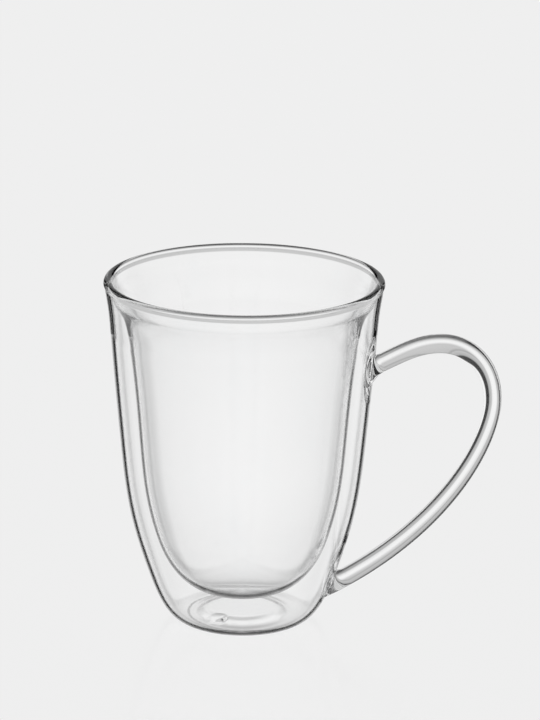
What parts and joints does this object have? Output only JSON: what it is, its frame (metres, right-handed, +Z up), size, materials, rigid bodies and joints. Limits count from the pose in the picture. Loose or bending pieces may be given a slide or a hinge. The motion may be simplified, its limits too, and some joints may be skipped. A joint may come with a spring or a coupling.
{
  "type": "double-walled mug",
  "caption": "Clear double-walled glass mug with a flared lip, a rounded narrow base and a looped glass rod handle.",
  "frame": {"origin": "on the mug's axis, in the plane of the narrow ring that it stands on", "axes": "+Z up along the mug's axis, +X from the axis towards the handle"},
  "size_m": [0.1311, 0.092, 0.117],
  "materials": {
    "wall_glass": "clear, polished by flame",
    "rod_glass": "clear, polished by flame"
  },
  "bodies": {
    "root": {"inner_cup": "wall_glass", "outer_shell": "wall_glass", "rim_lip": "wall_glass", "handle_rod": "rod_glass", "upper_handle_weld": "rod_glass", "lower_handle_weld": "rod_glass", "vent_seal": "rod_glass"}
  },
  "joints": []
}
